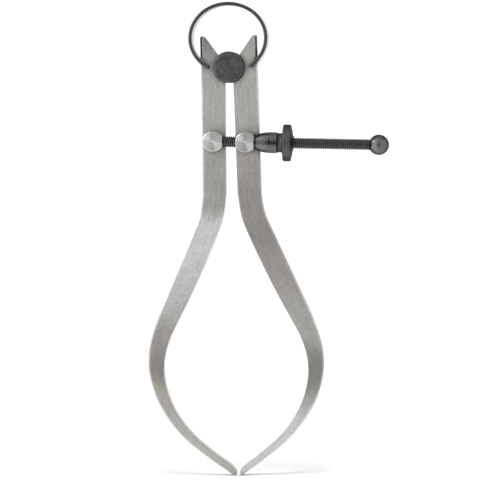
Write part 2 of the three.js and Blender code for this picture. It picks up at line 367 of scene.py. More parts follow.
def ground_steel(name, node, side, painted_light_bands):
    """Ground steel whose grain runs down the leg. The painted light and shade of its front faces are
    (height in mm, colour) stops.
    """
    material, tree, shader, mm = metal_tree(name)
    x, y, z = split(tree, mm)
    across = calc(tree, "SUBTRACT", product(tree, x, side), centre_curve(tree, node, z))
    grain = join(tree, across, y, z)
    streaks = noise(tree, stretch(tree, grain, 1.5, 1.5, 0.12), 1.0, 3.0, 0.6)
    fine = noise(tree, stretch(tree, grain, 1.0, 1.0, 0.6), 1.3, 3.0, 0.7)
    clouds = noise(tree, mm, 0.11, 2.0, 0.5)
    wavy = calc(tree, "MULTIPLY_ADD", calc(tree, "SUBTRACT", clouds, 0.5), PAINTED_BAND_WAVE, z)
    # grain and clouds of the steel, then painted shade in corners, under the studs and on front faces
    # seen at a slant
    shade = product(tree, vary(tree, streaks, 0.25, 0.08), vary(tree, fine, 0.25, 0.17),
                    vary(tree, clouds, 0.2, 0.04), painted_occlusion_shade(tree, 0.45), slant_shade(tree, 0.5))
    # front faces take the painted light and shade bands, sides and backs the plain tone of the steel
    tone = add(tree, "Mix", {
        0: facing_back(tree), 6: ramp(tree, wavy, painted_light_bands, "EASE"), 7: (*PLAIN_TONE, 1),
    }, data_type="RGBA").outputs[2]
    plug(tree, shader, "Base Color", tint(tree, shade, tone))
    plug(tree, shader, "Roughness", remap(tree, streaks, 0.2, 0.8, 0.33, 0.43))
    bumped(tree, shader, calc(tree, "ADD", streaks, fine), 0.012)
    return material


def painted_highlight_wedges(tree, level, high, radius):
    """Painted highlight: 1.4 in two opposite wedges about an axis, where light falls on turned rings,
    and 0.92 elsewhere.
    """
    angle = calc(tree, "ARCTAN2", high, level)
    wave = calc(tree, "COSINE", calc(tree, "MULTIPLY_ADD", angle, 2.0, 2 * WEDGE_ANGLE))
    wedge = product(tree, remap(tree, wave, 0.1, 1.0, 0, 1, "SMOOTHSTEP"),
                    remap(tree, radius, 0.2, 1.4, 0, 1))
    return remap(tree, wedge, 0, 1, 0.92, 1.4)


def turned_steel(name, centre, tone, roughness=0.27):
    """Lathe-turned steel: fine rings about an axis along Y and a matching stretched highlight, helped
    by painted highlight wedges, with painted shade on the chamfer, the back and slanted faces.
    """
    material, tree, shader, mm = metal_tree(name)
    flat = add(tree, "VectorMath", {0: mm, 1: tuple(centre / MM)}, operation="SUBTRACT").outputs[0]
    flat = stretch(tree, flat, 1, 0, 1)
    radius = add(tree, "VectorMath", {0: flat}, operation="LENGTH").outputs["Value"]
    level, _, high = split(tree, flat)
    rings = noise(tree, join(tree, radius), 2.2, 3.0, 0.7)
    specks = noise(tree, mm, 3.0, 2.0, 0.6)
    shade = product(
        tree, vary(tree, rings, 0.25, 0.06), tone, vary(tree, specks, 0.2, 0.04),
        painted_highlight_wedges(tree, level, high, radius),
        # painted highlight in the dimple at the centre
        remap(tree, radius, 0.25, 0.5, 1.12, 1),
        # painted shade on the head's chamfer
        remap(tree, radius, *HEAD_EDGE, 1, 0.72),
        # painted shade on faces that look to the back
        remap(tree, facing_back(tree), 0, 1, 1, 0.6),
        slant_shade(tree, 0.4))
    plug(tree, shader, "Base Color", tint(tree, shade, STEEL_TINT))
    plug(tree, shader, "Roughness",
         remap(tree, rings, 0.2, 0.8, roughness - 0.05, roughness + 0.06))
    plug(tree, shader, "Anisotropic", 0.85)
    plug(tree, shader, "Anisotropic Rotation", 0.25)
    plug(tree, shader, "Tangent",
         add(tree, "Tangent", direction_type="RADIAL", axis="Y").outputs[0])
    bumped(tree, shader, rings, 0.01)
    return material


def black_oxide(name, tone, roughness, grain=1.5, relief=0.01, turned_lines=False, edge=0.6,
                mottle=0.1, rim=0.5, dark_until=None, painted_dark_band=1):
    """Blackened steel with specks of size 1 / grain mm and some relief in mm.

    mottle is the strength of the specks and edge that of the glancing reflection. rim is the painted
    shade at the outline and painted_dark_band the painted shade along the line that faces the front,
    as shares.
    turned_lines adds fine lines round the X axis. Up to dark_until, an x in mm, the piece gets painted
    shade for the gloom behind its neighbour.
    """
    material, tree, shader, mm = metal_tree(name)
    specks = noise(tree, mm, grain, 3.0, 0.65)
    clouds = noise(tree, mm, 0.35, 2.0, 0.5)
    shade = product(tree, vary(tree, specks, 0.25, mottle), tone, vary(tree, clouds, 0.2, 0.07))
    height = specks
    if turned_lines:
        lines = noise(tree, stretch(tree, mm, 3.0, 0.05, 0.05), 1.0, 2.0, 0.6)
        shade = product(tree, shade, vary(tree, lines, 0.2, 0.07))
        height = calc(tree, "ADD", specks, lines)
    # painted shade towards the outline
    shade = product(tree, shade, remap(tree, slant(tree), 0.15, 0.6, 1, rim, "SMOOTHSTEP"))
    # painted shade in a band along the line that faces the front, for the dark room reflected there
    if painted_dark_band < 1:
        normal = add(tree, "NewGeometry").outputs["Normal"]
        level = calc(tree, "ABSOLUTE", split(tree, normal)[2])
        shade = product(tree, shade, remap(tree, level, 0.08, 0.4, painted_dark_band, 1, "SMOOTHSTEP"))
    # painted shade in corners, under neighbours and in the gloom behind them, on colour and reflection
    painted_shade_share = painted_occlusion_shade(tree, 0.4)
    if dark_until is not None:
        gloom = remap(tree, split(tree, mm)[0], dark_until, dark_until + 3, 0.35, 1, "SMOOTHSTEP")
        painted_shade_share = product(tree, painted_shade_share, gloom)
    shade = product(tree, shade, painted_shade_share)
    plug(tree, shader, "Base Color", tint(tree, shade, OXIDE_TINT))
    plug(tree, shader, "Roughness",
         remap(tree, specks, 0.25, 0.75, roughness - 0.05, roughness + 0.05))
    plug(tree, shader, "Specular Tint", tint(tree, painted_shade_share, (edge, edge, edge)))
    bumped(tree, shader, height, relief)
    return material


# ---- legs ----
OUTER_BEVEL = 0.65 * MM
EAR_BEVEL = 0.9 * MM
FINE_BEVEL = 0.12 * MM
STRAIGHT_OUT = 10.3  # further from the middle than this, the straight part has its outer edge
STRAIGHT_END = -46  # heights in mm, here and below
EAR_START = 4
EAR_END = 11.3
TIP_START = -140
TIP_LONG = 9
LOOKS_OUT = 0.3  # sine of the slant from which an edge counts as an outer one
# a bevel's section, as (inset, sunk) shares of its width, from the flat face to the side
BEVEL_STEPS = [(1.0, 0.0), (0.8, 0.07), (0.07, 0.8), (0.0, 1.0)]
LONGEST_RUN = 1.6 * MM  # between points of the outline
STRAIGHT_COSINE = 0.999995  # a point where the outline turns less than this is on a straight run
SHARPEST_MITRE = 0.35
CENTRE_STEPS = 15  # the middle of a leg is read at these steps
CENTRE_START = 0.01  # as shares of the leg's height
CENTRE_SPAN = 0.9


def pairs(points):
    """Each point of a closed loop with the next one."""
    return zip(points, points[1:] + points[:1])


def triples(points):
    """Each point of a closed loop between its neighbours."""
    return zip(points[-1:] + points, points, points[1:] + points[:1])


def front_loops(node):
    """The outline and the hole of a leg, as ordered (x, z) loops on its front face."""
    bm = bmesh.new()
    bm.from_mesh(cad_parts[node].data)
    bmesh.ops.remove_doubles(bm, verts=bm.verts, dist=1e-6)
    follow = {}
    for edge in bm.edges:
        fronts = [f for f in edge.link_faces if f.normal.y < -0.99]
        if len(fronts) == 1:
            loop = next(x for x in fronts[0].loops if x.edge is edge)
            follow[loop.vert.index] = (loop.link_loop_next.vert.index, loop.vert.co.xz.copy())
    bm.free()
    loops = []
    while follow:
        at = next(iter(follow))
        points = []
        while at in follow:
            at, point = follow.pop(at)
            points.append(point)
        loops.append(points)
    return sorted(loops, key=len, reverse=True)


def simplified(points):
    """Drops the points that lie on a straight run."""
    return [here for before, here, after in triples(points)
            if (here - before).normalized().dot((after - here).normalized()) < STRAIGHT_COSINE]


def divided(points):
    """Adds points along straight runs, so that bevel widths can change between corners."""
    out = []
    for here, after in pairs(points):
        parts = max(1, math.ceil((after - here).length / LONGEST_RUN))
        out += [here.lerp(after, k / parts) for k in range(parts)]
    return out


def inward(points):
    """The mitred inward direction at each point of a closed loop whose inside is on its left."""
    out = []
    for before, here, after in triples(points):
        one = (here - before).normalized()
        other = (after - here).normalized()
        a, b = Vector((-one.y, one.x)), Vector((-other.y, other.x))
        out.append((a + b) / max(1 + a.dot(b), SHARPEST_MITRE))
    return out


def area(points):
    return sum(a.cross(b) for a, b in pairs(points)) / 2


def leg_bevels(points, moves, side):
    """Bevel widths along the outline: wide on the outer edge, fine on the inner edge and the notch."""
    widths = []
    for point, move in zip(points, moves):
        x, z = abs(point.x) / MM, point.y / MM
        looks_out = -move.normalized().x * side > LOOKS_OUT
        width = FINE_BEVEL
        if looks_out and (x > STRAIGHT_OUT or z < STRAIGHT_END) and z < EAR_END:
            width = EAR_BEVEL if z > EAR_START else OUTER_BEVEL
        if z < TIP_START:
            taper = (TIP_START - z) / TIP_LONG
            width = min(width, OUTER_BEVEL + (FINE_BEVEL - OUTER_BEVEL) * taper)
        widths.append(width)
    return [(a + 2 * b + c) / 4 for a, b, c in triples(widths)]


def edge_rows(bm, points, moves, widths):
    """Rows of vertices from the front face over both bevels to the back face, joined by faces."""
    rows = []
    for plane, sign, steps in ((LEG_FRONT, 1, BEVEL_STEPS), (LEG_BACK, -1, BEVEL_STEPS[::-1])):
        for inset, sunk in steps:
            row = []
            for point, move, width in zip(points, moves, widths):
                at = point + move * width * inset
                row.append(bm.verts.new((at.x, plane + sign * width * sunk, at.y)))
            rows.append(row)
    for one, other in zip(rows, rows[1:]):
        bridge(bm, one, other)
    return rows


def build_leg(name, node, side, painted_light_bands):
    bm = bmesh.new()
    rims = [], []  # the edges round the front face and round the back face
    for index, points in enumerate(front_loops(node)):
        is_hole = index > 0
        points = simplified(points)
        if not is_hole:
            points = divided(points)
        if (area(points) > 0) == is_hole:
            points.reverse()
        moves = inward(points)
        widths = [FINE_BEVEL] * len(points) if is_hole else leg_bevels(points, moves, side)
        rows = edge_rows(bm, points, moves, widths)
        for rim, row in zip(rims, (rows[0], rows[-1])):
            rim += [bm.edges.get(pair) for pair in pairs(row)]
    for rim, look in zip(rims, (-1, 1)):
        bmesh.ops.triangle_fill(bm, edges=rim, use_beauty=True, normal=(0, look, 0))
    piece(name, bm, ground_steel("ground_" + node, node, side, painted_light_bands), node, node)


def crossings(points, z):
    """How far from the middle of the caliper the outline of a leg crosses a height."""
    return [abs(a.x + (b.x - a.x) * (z - a.y) / (b.y - a.y))
            for a, b in pairs(points) if (a.y - z) * (b.y - z) < 0]


def centre_curve(tree, node, height):
    """The distance of the middle of a leg from the middle of the caliper at a height, in mm, as a
    curve read from the leg's outline."""
    points = front_loops(node)[0]
    low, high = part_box(node)
    wide = max(abs(low.x), abs(high.x))
    curve = add(tree, "FloatCurve", {"Value": remap(tree, height, low.z / MM, high.z / MM, 0, 1)})
    line = curve.mapping.curves[0]
    for i in range(CENTRE_STEPS + 1):
        share = CENTRE_START + CENTRE_SPAN * i / CENTRE_STEPS
        edges = crossings(points, low.z + (high.z - low.z) * share)
        at = (share, (min(edges) + max(edges)) / 2 / wide)
        if i == 0:
            line.points[0].location = at
        elif i == CENTRE_STEPS:
            line.points[-1].location = at
        else:
            line.points.new(*at)
    curve.mapping.update()
    return product(tree, curve.outputs[0], wide / MM)


# painted light and shade: broad light and dark bands of painted reflection on the front faces, from
# the tip to the ear, as (height in mm, colour)
LEFT_PAINTED_LIGHT = [
    (-152, (0.60, 0.60, 0.55)), (-143, (0.68, 0.68, 0.63)), (-131, (0.63, 0.63, 0.60)),
    (-120, (0.565, 0.535, 0.50)), (-110, (0.40, 0.365, 0.345)), (-101, (0.49, 0.465, 0.445)),
    (-84, (0.77, 0.77, 0.755)), (-64, (0.90, 0.90, 0.89)), (-58, (0.87, 0.87, 0.86)),
    (-50, (0.52, 0.51, 0.49)), (-36, (0.57, 0.56, 0.53)), (-12, (0.64, 0.63, 0.60)),
    (0, (0.52, 0.52, 0.49)), (12, (0.31, 0.31, 0.285)),
]
RIGHT_PAINTED_LIGHT = [
    (-152, (0.80, 0.80, 0.80)), (-138, (0.92, 0.92, 0.92)), (-131, (0.91, 0.91, 0.90)),
    (-127, (0.81, 0.80, 0.79)), (-122, (0.60, 0.59, 0.57)), (-116, (0.42, 0.41, 0.385)),
    (-111, (0.40, 0.385, 0.36)), (-93, (0.645, 0.635, 0.60)), (-76, (0.545, 0.51, 0.49)),
    (-60, (0.445, 0.42, 0.40)), (-46, (0.47, 0.44, 0.42)), (-30, (0.61, 0.59, 0.57)),
    (-12, (0.65, 0.64, 0.61)), (12, (0.60, 0.59, 0.56)),
]
build_leg("left_leg_ground", "left_leg", -1, LEFT_PAINTED_LIGHT)
build_leg("right_leg_ground", "right_leg", 1, RIGHT_PAINTED_LIGHT)

# ---- fulcrum ----
BUTTON_RIM = 0.42  # breadth of the rounded rim, outside the slightly crowned middle
BUTTON_CROWN = 0.10
CROWN_RINGS = 8
RIVET_R = 1.5
ROLLER_BORE = 1.52
RIVET_RECESS = 0.35

button_oxide = black_oxide("oxide_button", 0.118, 0.42, grain=0.7, relief=0.006, mottle=0.3, edge=0.3,
                           rim=0.15)


def build_button():
    near, far = depth("fulcrum_button")
    wide = half_width("fulcrum_button")
    crown_r = wide - BUTTON_RIM
    crown = [(crown_r * k / CROWN_RINGS, near + BUTTON_CROWN * (k / CROWN_RINGS) ** 2)
             for k in range(CROWN_RINGS)]
    rim = filleted([(crown_r, near + BUTTON_CROWN), (wide, near + 0.34, 0.22), (wide, far, 0.1),
                    (1.6, far), (0, far)])
    piece("fulcrum_button_disc", turned(crown + rim, ORIGIN, BACK), button_oxide,
          "fulcrum", "fulcrum_button")


def build_rear_cap():
    near, far = depth("fulcrum_rear_cap")
    wide = half_width("fulcrum_rear_cap")
    profile = filleted([(RIVET_R, near), (wide, near, 0.1), (wide, far, 0.4), (2.1, far, 0.1),
                        (RIVET_R, far - RIVET_RECESS)])
    piece("fulcrum_rear_disc", turned(profile, ORIGIN, BACK, closed=True), button_oxide,
          "fulcrum", "fulcrum_rear_cap")


def build_rivet():
    near, far = depth("fulcrum_rivet")
    profile = filleted([(0, near), (RIVET_R, near), (RIVET_R, far - RIVET_RECESS),
                        (1.95, far - 0.06, 0.05), (1.2, far), (0, far)])
    piece("fulcrum_rivet_peened", turned(profile, ORIGIN, BACK),
          turned_steel("turned_rivet", ORIGIN, 0.55, 0.3), "fulcrum",
          "fulcrum_rivet")


def build_roller():
    near, far = depth("fulcrum_roller")
    wide = half_width("fulcrum_roller")
    profile = filleted([(ROLLER_BORE, near), (wide, near, 0.12), (wide, far, 0.12),
                        (ROLLER_BORE, far)])
    piece("fulcrum_roller_ring", turned(profile, ORIGIN, BACK, closed=True),
          turned_steel("turned_roller", ORIGIN, 0.5, 0.3), "fulcrum",
          "fulcrum_roller")


build_button()
build_rear_cap()
build_rivet()
build_roller()

# ---- bow spring ----
BOW_CENTRE_Z = 10.64
STRIP_THICK = 1.3
STRIP_STEPS = 150
FORK_HALF = 1.7  # half the width of the slot in each end of the strip
FORK_X = 9.68  # where that slot stops
PRONG_MARKS = [k / 10 for k in range(1, 10)] + [0.96, 1.0]  # shares of a prong's length
PRONG_END_X = 7.3
TIP_ROUND = 0.5
TIP_BLUNT = 0.35  # share of the section left at the very tip
RELIEF_SHARE = 0.4  # of the thickness, taken off below between the prongs, where the notch turns
RELIEF_ROWS = 4
RELIEF_SLOPE = 0.3
BOW_BEVEL = 0.09
BOW_BEVEL_ANGLE = math.radians(62)

bow_low, bow_high = [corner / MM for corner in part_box("bow_spring")]
STRIP_HALF = STRIP_THICK / 2
BOW_HALF_WIDE = (bow_high.x - bow_low.x) / 2 - STRIP_HALF
BOW_HALF_HIGH = bow_high.z - BOW_CENTRE_Z - STRIP_HALF
BOW_MID_Y = (bow_high.y + bow_low.y) / 2
BOW_EDGE = (bow_high.y - bow_low.y) / 2
RELIEF_HALF = FORK_HALF - RELIEF_SLOPE
BOW_COLUMNS = [-BOW_EDGE, -FORK_HALF, -RELIEF_HALF, RELIEF_HALF, FORK_HALF, BOW_EDGE]
LAST_COLUMN = len(BOW_COLUMNS) - 2
# angles round the oval from its foot
FORK_ANGLE = math.asin(FORK_X / BOW_HALF_WIDE)
PRONG_ANGLE = FORK_ANGLE - math.asin(PRONG_END_X / BOW_HALF_WIDE)
FAR_FORK_ANGLE = 2 * math.pi - FORK_ANGLE


def bow_row(bm, twins, angle, y_list, half):
    """A row of vertices across the outer and the inner sheet of the strip, half a thickness from its
    middle. twins collects which outer and inner vertex belong together."""
    sine, cosine = math.sin(angle), math.cos(angle)
    centre = Vector((BOW_HALF_WIDE * sine, BOW_CENTRE_Z - BOW_HALF_HIGH * cosine))
    normal = Vector((BOW_HALF_HIGH * sine, -BOW_HALF_WIDE * cosine)).normalized()
    sheets = []
    for offset in (half, -half):
        point = centre + normal * offset
        sheets.append([bm.verts.new((point.x * MM, (BOW_MID_Y + y) * MM, point.y * MM))
                       for y in y_list])
    twins.update(zip(*sheets))
    return sheets


def bow_quads(bm, one, other, column):
    """Faces between two rows, in one column, on both sheets."""
    for a, b in zip(one, other):
        bm.faces.new((a[column], a[column + 1], b[column + 1], b[column]))


def add_prong(bm, twins, root, column, start, turn):
    """One prong of a fork, from a column of the strip's last row to a rounded tip."""
    low, high = BOW_COLUMNS[column], BOW_COLUMNS[column + 1]
    middle_y, half_y = (low + high) / 2, (high - low) / 2
    last = [[sheet[column], sheet[column + 1]] for sheet in root]
    for mark in PRONG_MARKS:
        left = (1 - mark) * PRONG_ANGLE * BOW_HALF_HIGH
        swell = 1.0
        if left < TIP_ROUND:
            swell = max(math.sqrt(1 - (1 - left / TIP_ROUND) ** 2), TIP_BLUNT)
        new = bow_row(bm, twins, start + mark * turn,
                      [middle_y - half_y * swell, middle_y + half_y * swell], STRIP_HALF * swell)
        bow_quads(bm, last, new, 0)
        last = new


def bow_mesh():
    """The strip with a fork at each end, as two sheets joined along their open edges."""
    bm = bmesh.new()
    twins = {}
    rows = []
    for i in range(STRIP_STEPS + 1):
        angle = FORK_ANGLE + (FAR_FORK_ANGLE - FORK_ANGLE) * i / STRIP_STEPS
        rows.append(bow_row(bm, twins, angle, BOW_COLUMNS, STRIP_HALF))
    for one, other in zip(rows, rows[1:]):
        for column in range(LAST_COLUMN + 1):
            bow_quads(bm, one, other, column)
    for outer, inner in rows[:RELIEF_ROWS] + rows[-RELIEF_ROWS:]:
        for y in (-RELIEF_HALF, RELIEF_HALF):
            j = BOW_COLUMNS.index(y)
            outer[j].co = outer[j].co.lerp(inner[j].co, RELIEF_SHARE)
    for root, start, turn in ((rows[0], FORK_ANGLE, -PRONG_ANGLE),
                              (rows[-1], FAR_FORK_ANGLE, PRONG_ANGLE)):
        for column in (0, LAST_COLUMN):
            add_prong(bm, twins, root, column, start, turn)
    for edge in [e for e in bm.edges if e.is_boundary]:
        a, b = edge.verts
        if a in twins and b in twins:
            bm.faces.new((a, b, twins[b], twins[a]))
    return bm


def build_bow():
    """The strip with fine rounded edges."""
    bow = mesh_object("bow_spring_strip", bow_mesh())
    round_off = bow.modifiers.new("round_edges", "BEVEL")
    round_off.width = BOW_BEVEL * MM
    round_off.segments = 2
    round_off.limit_method = "ANGLE"
    round_off.angle_limit = BOW_BEVEL_ANGLE
    bow.modifiers.new("flat_faces", "WEIGHTED_NORMAL")
    material = black_oxide("oxide_spring", 0.165, 0.24, grain=1.2, relief=0.003, edge=1.0, mottle=0.08,
                           rim=1.0)
    finish(bow, material, "bow_spring", "bow_spring")
    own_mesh(bow)


build_bow()

# ---- studs with their washers and the lock pin ----
HEAD_CHAMFER = 0.24
HEAD_GAP = 0.08  # between the head and the leg
SHANK_R = 2.2
WASHER_BORE = 2.22
FLAT_TOOL = 12  # size of the block that mills the flats
ANCHOR_FLAT = 3.52  # from the stud's axis
SLIDE_FLAT = 3.05
DRILL_END = 6  # past the side of a head
SCREW_HOLE_R = 2.15
SCREW_HOLE_START = -3.05
SLIDE_HOLE_R = 2.42
NOSE_SEAT_R = 2.87
NOSE_SEAT_START = 1.95
LOCK_HOLE_R = 0.72
LOCK_PIN_R = 0.6
LOCK_PIN_START = 0.7  # below the screw's axis
LOCK_PIN_END = 3.3
LOCK_SLOT = 0.2


def stud_profile(node):
    """A round head with a small dimple, a shank and a riveted end, from the head's face."""
    low, high = depth(node)
    wide = half_width(node)
    under = LEG_FRONT / MM - HEAD_GAP - low
    back = high - low
    return filleted([
        (0, 0.14), (0.2, 0.05), (0.3, 0, 0.04), (wide - HEAD_CHAMFER - 0.02, 0.03, 0.06),
        (wide, HEAD_CHAMFER, 0.06), (wide, under, 0.08), (SHANK_R, under), (SHANK_R, back - 0.42),
        (2.55, back - 0.3, 0.05), (2.3, back - 0.08, 0.1), (1.2, back), (0, back),
    ])


def flat_cutter(at, distance):
    """Mills a flat on a stud's head, on the side of the nut, this far from its axis."""
    corner = Vector((at.x, LEG_FRONT, at.z)) + ALONG * distance * MM
    centre = corner + (ALONG - BACK) * FLAT_TOOL / 2 * MM
    return block(centre, (ALONG, BACK, ABOVE), [FLAT_TOOL] * 3)


def build_stud(node, body, at, tone, tools):
    origin = Vector((at.x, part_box(node)[0].y, at.z))
    made = mesh_object(node + "_turned", turned(stud_profile(node), origin, BACK))
    drilled(made, *tools)
    finish(made, turned_steel("turned_" + node, at, tone), body, node)


def build_washer(node, body, at):
    near, far = depth(node)
    wide = half_width(node)
    profile = filleted([(WASHER_BORE, near), (wide, near, 0.06), (wide, far, 0.2),
                        (2.5, far, 0.05), (WASHER_BORE, far - 0.2)])
    piece(node + "_ring", turned(profile, Vector((at.x, 0, at.z)), BACK, closed=True),
          turned_steel("turned_" + node, at, 0.55, 0.32), body, node)


def build_lock_pin():
    slot = LOCK_PIN_END - LOCK_SLOT
    profile = filleted([(0, LOCK_PIN_START), (LOCK_PIN_R, LOCK_PIN_START, 0.08),
                        (LOCK_PIN_R, LOCK_PIN_END, 0.1), (0.3, LOCK_PIN_END), (0.26, slot), (0, slot)])
    piece("screw_lock_pin_slotted", turned(profile, ANCHOR, -ABOVE, PIN_SEGMENTS),
          black_oxide("oxide_pin", 0.1, 0.4), "screw", "screw_lock_pin")


build_stud("anchor_stud", "screw", ANCHOR, 0.82, [
    flat_cutter(ANCHOR, ANCHOR_FLAT),
    drill(SCREW_HOLE_R, SCREW_HOLE_START, DRILL_END, ANCHOR, ALONG),
    drill(LOCK_HOLE_R, 0, DRILL_END, ANCHOR, -ABOVE),
])
build_stud("slide_stud", "slide_stud", SLIDE, 0.75, [
    flat_cutter(SLIDE, SLIDE_FLAT),
    drill(SLIDE_HOLE_R, -DRILL_END, DRILL_END, SLIDE, ALONG),
    drill(NOSE_SEAT_R, NOSE_SEAT_START, DRILL_END, SLIDE, ALONG),
])
build_washer("anchor_stud_washer", "screw", ANCHOR)
build_washer("slide_stud_washer", "slide_stud", SLIDE)
build_lock_pin()

# ---- adjusting screw: a true helical thread ----
PITCH = 25.4 / 32
CREST_R = 2.04
ROOT_R = 1.6
CORE_R = 1.1
THREAD_SHAPE = [(0.0, ROOT_R), (0.12, ROOT_R), (0.38, CREST_R), (0.74, CREST_R)]  # pitches, radius
THREAD_SEGMENTS = 36
SCREW_START = -2.9  # along the screw from the anchor stud's axis
SCREW_IN_BALL = 3.15  # short of the ball's middle


def build_thread(start, end):
    """One helical ridge, closed at both ends onto a round core."""
    bm = bmesh.new()
    first, second = basis(ALONG)
    turns = math.ceil((end - start) / PITCH) + 2
    strips = []
    for offset, radius in THREAD_SHAPE:
        strip = []
        for i in range(turns * THREAD_SEGMENTS + 1):
            angle = 2 * math.pi * i / THREAD_SEGMENTS
            place = start + PITCH * (i / THREAD_SEGMENTS + offset - 1.5)
            size = radius if start < place < end else CORE_R
            place = min(max(place, start), end)
            outward = first * math.cos(angle) + second * math.sin(angle)
            strip.append(bm.verts.new(ANCHOR + ALONG * place * MM + outward * size * MM))
        strips.append(strip)
    for j, one in enumerate(strips):
        # the last strip meets the first one a turn later
        shift = THREAD_SEGMENTS if one is strips[-1] else 0
        other = strips[(j + 1) % len(strips)]
        for i in range(len(one) - 1 - shift):
            bm.faces.new((one[i], one[i + 1], other[i + 1 + shift], other[i + shift]))
    bmesh.ops.remove_doubles(bm, verts=bm.verts, dist=1e-7)
    bmesh.ops.dissolve_degenerate(bm, edges=bm.edges, dist=1e-8)
    loose = [v for v in bm.verts if not v.link_faces]
    bmesh.ops.delete(bm, geom=loose, context="VERTS")
    bmesh.ops.holes_fill(bm, edges=[e for e in bm.edges if e.is_boundary], sides=0)
    return bm


screw_oxide = black_oxide("oxide_screw", 0.165, 0.34, grain=1.4, relief=0.006, mottle=0.25, edge=0.7)
piece("adjusting_screw_threaded", build_thread(SCREW_START, BALL_ALONG - SCREW_IN_BALL), screw_oxide,
      "screw", "adjusting_screw")

# ---- ball end with its cross pin ----
BALL_STEPS = 48
BALL_HOLE_R = 0.7
BALL_HOLE_DEEP = 0.5
BALL_PIN_R = 0.64
BALL_PIN_SUNK = 0.12  # below the ball's surface
BALL_PIN_CROWN = 0.1

ball_oxide = black_oxide("oxide_ball", 0.172, 0.2, grain=1.6, relief=0.012, mottle=0.12, edge=0.35)


def build_ball():
    """A ball with a shallow hole at the front and the back, each with a slightly eased lip."""
    hole_angle = math.asin((BALL_HOLE_R + 0.05) / BALL_R)
    lip = BALL_R * math.cos(hole_angle) - 0.03
    floor_at = BALL_R - BALL_HOLE_DEEP
    profile = [(0, -floor_at), (BALL_HOLE_R, -floor_at), (BALL_HOLE_R, -lip)]
    for k in range(BALL_STEPS + 1):
        angle = hole_angle + (math.pi - 2 * hole_angle) * k / BALL_STEPS
        profile.append((BALL_R * math.sin(angle), -BALL_R * math.cos(angle)))
    profile += [(BALL_HOLE_R, lip), (BALL_HOLE_R, floor_at), (0, floor_at)]
    piece("ball_end_round", turned(profile, BALL, BACK), ball_oxide, "screw",
          "ball_end")


def build_ball_pin():
    end = BALL_R - BALL_PIN_SUNK
    side = end - BALL_PIN_CROWN
    profile = filleted([(0, -end), (BALL_PIN_R, -side, 0.06), (BALL_PIN_R, side, 0.06), (0, end)])
    piece("ball_pin_domed", turned(profile, BALL, BACK, PIN_SEGMENTS), ball_oxide,
          "screw", "ball_pin")


build_ball()
build_ball_pin()

# ---- thrust sleeve and nut, as distances along the screw from the slide stud's axis ----
NOSE_R = 2.6
NOSE_BORE = 2.1
NOSE_START = 2.7
SLEEVE_BORE = 2.81
SLEEVE_BORE_START = 5.85
SLEEVE_END = 11.65
BARREL = [(2.86, 3.87), (3.04, 4.4), (3.28, 5.1), (3.53, 6.1), (3.71, 7.2), (3.81, 8.4), (3.85, 9.8),
          (3.84, 10.8), (3.76, 11.45)]
SLOT_ALONG = 8.76
SLOT_SIZE = (0.34, 1.6, 2.5)
SLOT_PLACE = Vector((0, -3.9, 0.5))  # from the sleeve's axis
NUT_BORE = 2.06
SPIGOT_R = 2.75
SPIGOT_START = 6.0
NUT_START = 11.75
WAIST = [(3.55, 12.1), (3.45, 12.6), (3.55, 13.0), (3.95, 13.42), (4.5, 13.66)]
CONE = [(4.6, 16.92), (3.2, 17.18), (2.8, 17.3)]
NUT_END = 17.45
WHEEL_R = 6.7
WHEEL_START = 13.75
WHEEL_END = 16.5
WHEEL_CHAMFER = 0.2
KNURL_ROUND = 150
KNURL_ROWS = 9
KNURL_DEPTH = 0.13


def build_sleeve():
    nose = filleted([(NOSE_BORE, NOSE_START), (NOSE_R, NOSE_START, 0.12), (NOSE_R, 3.75, 0.05)])
    end = filleted([(3.5, SLEEVE_END), (SLEEVE_BORE, SLEEVE_END), (SLEEVE_BORE, SLEEVE_BORE_START),
                    (NOSE_BORE, SLEEVE_BORE_START)])
    made = mesh_object("thrust_sleeve_barrel",
                       turned(nose + smoothed(BARREL) + end, SLIDE, ALONG, closed=True))
    slot_at = SLIDE + ALONG * SLOT_ALONG * MM + SLOT_PLACE * MM
    drilled(made, block(slot_at, (Vector((1, 0, 0)), BACK, UP), SLOT_SIZE))
    material = black_oxide("oxide_sleeve", 0.16, 0.2, grain=1.3, relief=0.006, turned_lines=True,
                           mottle=0.14, edge=0.4, rim=0.9, dark_until=8.0, painted_dark_band=0.6)
    finish(made, material, "thrust_sleeve", "thrust_sleeve")


def nut_mesh():
    """The nut as one turned body whose rim carries a diamond knurl."""
    edge_r = WHEEL_R - WHEEL_CHAMFER
    front = filleted([(NUT_BORE, SPIGOT_START), (SPIGOT_R, SPIGOT_START, 0.1), (SPIGOT_R, NUT_START),
                      (3.45, NUT_START), (3.62, 11.9)])
    front += smoothed(WAIST)
    front += filleted([(5.7, WHEEL_START), (edge_r, WHEEL_START, 0.05),
                       (WHEEL_R - 0.1, WHEEL_START + 0.14)])
    knurl_start = WHEEL_START + WHEEL_CHAMFER
    knurl_long = WHEEL_END - WHEEL_CHAMFER - knurl_start
    rim = [(WHEEL_R, knurl_start + knurl_long * k / KNURL_ROWS) for k in range(KNURL_ROWS + 1)]
    back = filleted([(WHEEL_R - 0.1, WHEEL_END - 0.14), (edge_r, WHEEL_END, 0.05), (5.4, 16.74)])
    back += smoothed(CONE)
    back += filleted([(2.5, NUT_END, 0.05), (NUT_BORE, NUT_END)])
    bm = turned(front + rim + back, SLIDE, ALONG, KNURL_ROUND, closed=True)
    bm.verts.ensure_lookup_table()
    for row in range(KNURL_ROWS + 1):
        # every second vertex is pushed in, and the next row starts one vertex on
        for k in range((row + 1) % 2, KNURL_ROUND, 2):
            vert = bm.verts[(len(front) + row) * KNURL_ROUND + k]
            outward = vert.co - SLIDE
            outward -= ALONG * outward.dot(ALONG)
            vert.co -= outward.normalized() * KNURL_DEPTH * MM
    return bm


